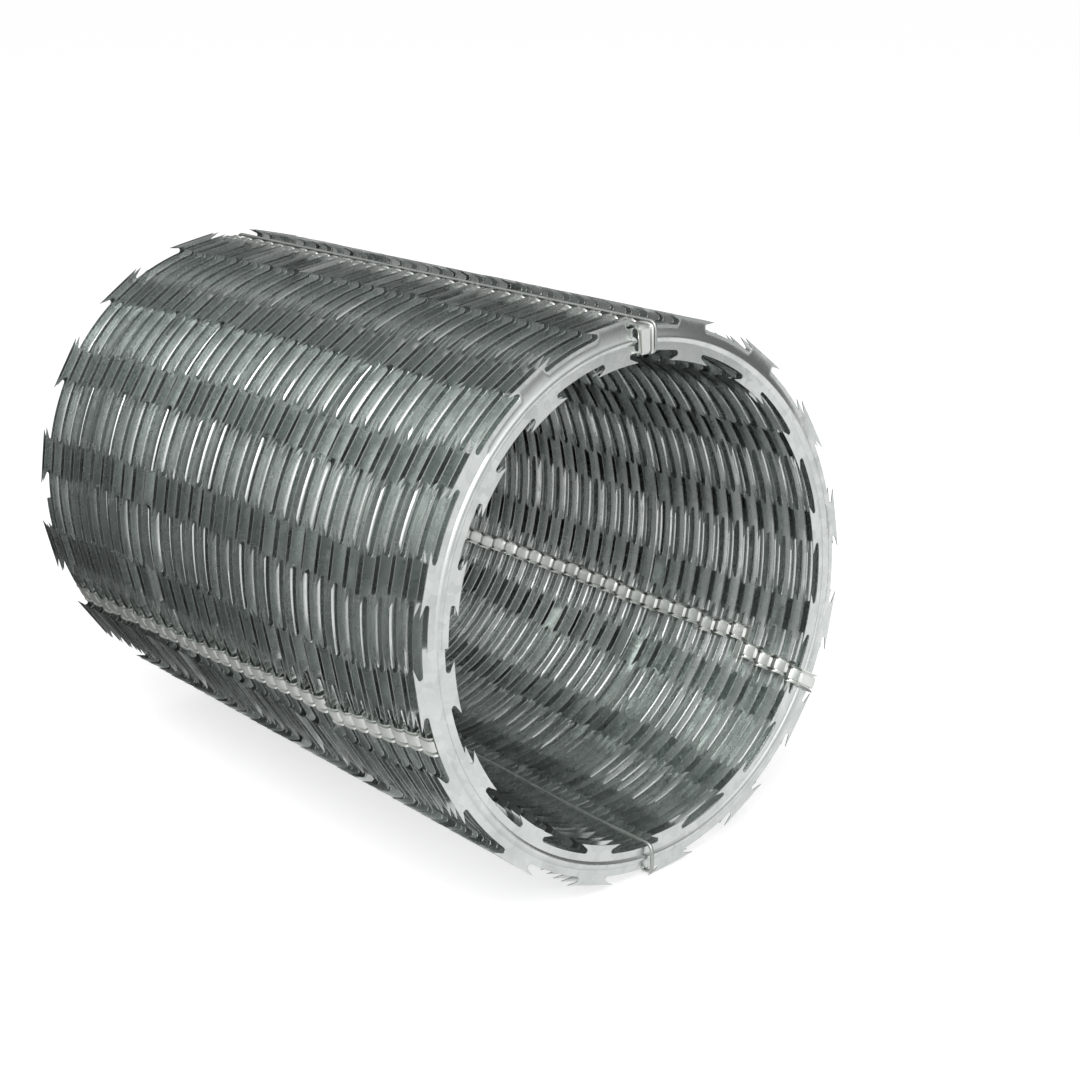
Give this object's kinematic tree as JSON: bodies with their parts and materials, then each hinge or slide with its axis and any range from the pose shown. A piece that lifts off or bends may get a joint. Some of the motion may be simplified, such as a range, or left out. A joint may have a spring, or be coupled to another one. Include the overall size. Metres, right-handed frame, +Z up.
{
  "type": "concertina razor wire coil",
  "caption": "Compressed concertina coil of barbed steel tape, clipped turn to turn in three rows and tied with wire, lying on its side.",
  "frame": {"origin": "on the floor under the middle of the coil", "axes": "+X along the coil's axis towards the end that faces the viewer, +Y to the viewer's right, +Z up"},
  "size_m": [0.4086, 0.2988, 0.2979],
  "materials": {
    "galvanised_tape": "hot-dip galvanised strip, satin with a soft spangle",
    "clip_steel": "bright galvanised sheet, satin",
    "tie_wire": "annealed galvanised wire, dull"
  },
  "bodies": {
    "root": {"razor_tape": "galvanised_tape", "clips_top": "clip_steel", "clips_left": "clip_steel", "clips_right": "clip_steel", "tie_wire_top": "tie_wire", "tie_wire_bottom": "tie_wire"}
  },
  "joints": []
}
